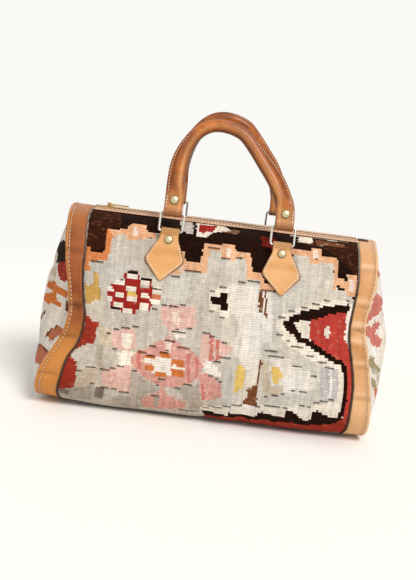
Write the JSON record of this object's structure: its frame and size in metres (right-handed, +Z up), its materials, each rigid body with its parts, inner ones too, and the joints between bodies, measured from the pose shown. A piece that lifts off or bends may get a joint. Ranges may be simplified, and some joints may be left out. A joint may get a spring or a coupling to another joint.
{
  "type": "weekend bag",
  "caption": "Flat-woven wool weekend bag with leather end bands, rolled leather handles on wire rings and a zip top.",
  "frame": {"origin": "middle of the flat base, at the height of the surface the bag stands on", "axes": "+X along the bag towards the right end as pictured, -Y out of the pictured side, +Z up through the zip"},
  "size_m": [0.378, 0.176, 0.3152],
  "materials": {
    "kilim": "flat-woven wool with ribs along the weft, matte",
    "band_leather": "worn tan leather, soft sheen",
    "tan_leather": "light tan leather, white saddle stitching",
    "handle_leather": "polished chestnut leather",
    "zip_tape": "dark brown woven tape, matte",
    "zip_teeth": "dark brown moulded teeth",
    "brass": "worn brass",
    "nickel": "nickelled steel wire",
    "rivet": "pale brass, satin"
  },
  "bodies": {
    "bag": {"kilim_body": "kilim", "gusset_left": "kilim", "gusset_right": "kilim", "band_left": "band_leather", "band_right": "band_leather", "zip_strip_front": "tan_leather", "zip_strip_rear": "tan_leather", "zip_tape_front": "zip_tape", "zip_tape_rear": "zip_tape", "zip_tape_end": "zip_tape", "zip_teeth_front": "zip_teeth", "zip_teeth_rear": "zip_teeth", "chape_front_left": "tan_leather", "chape_front_right": "tan_leather", "chape_rear_left": "tan_leather", "chape_rear_right": "tan_leather", "chape_front_left_rivet": "rivet", "chape_front_right_rivet": "rivet", "chape_rear_left_rivet": "rivet", "chape_rear_right_rivet": "rivet"},
    "front_rings": {"ring_front_left": "nickel", "ring_front_right": "nickel"},
    "front_handle": {"handle_front": "handle_leather", "handle_front_rivet_left": "rivet", "handle_front_rivet_right": "rivet"},
    "rear_rings": {"ring_rear_left": "nickel", "ring_rear_right": "nickel"},
    "rear_handle": {"handle_rear": "handle_leather", "handle_rear_rivet_left": "rivet", "handle_rear_rivet_right": "rivet"},
    "slider": {"zip_slider": "brass"},
    "pull": {"zip_pull": "brass"}
  },
  "joints": [
    {"name": "front_rings_swing", "type": "hinge", "parent": "bag", "child": "front_rings", "pos_m": [0, -0.05624, 0.1925], "axis": [1, 0, 0], "range_deg": [0, 115]},
    {"name": "front_handle_swing", "type": "hinge", "parent": "front_rings", "child": "front_handle", "pos_m": [0, -0.05008, 0.21047], "axis": [1, 0, 0], "range_deg": [-4, 60]},
    {"name": "rear_rings_swing", "type": "hinge", "parent": "bag", "child": "rear_rings", "pos_m": [0, 0.05624, 0.1925], "axis": [-1, 0, 0], "range_deg": [0, 98]},
    {"name": "rear_handle_swing", "type": "hinge", "parent": "rear_rings", "child": "rear_handle", "pos_m": [0, 0.05525, 0.21147], "axis": [-1, 0, 0], "range_deg": [-4, 60]},
    {"name": "zip_slide", "type": "slide", "parent": "bag", "child": "slider", "axis": [1, 0, 0], "range_m": [0, 0.245]},
    {"name": "zip_pull_turn", "type": "hinge", "parent": "slider", "child": "pull", "pos_m": [-0.127, 0, 0.20445], "axis": [0, -1, 0], "range_deg": [0, 170]}
  ]
}
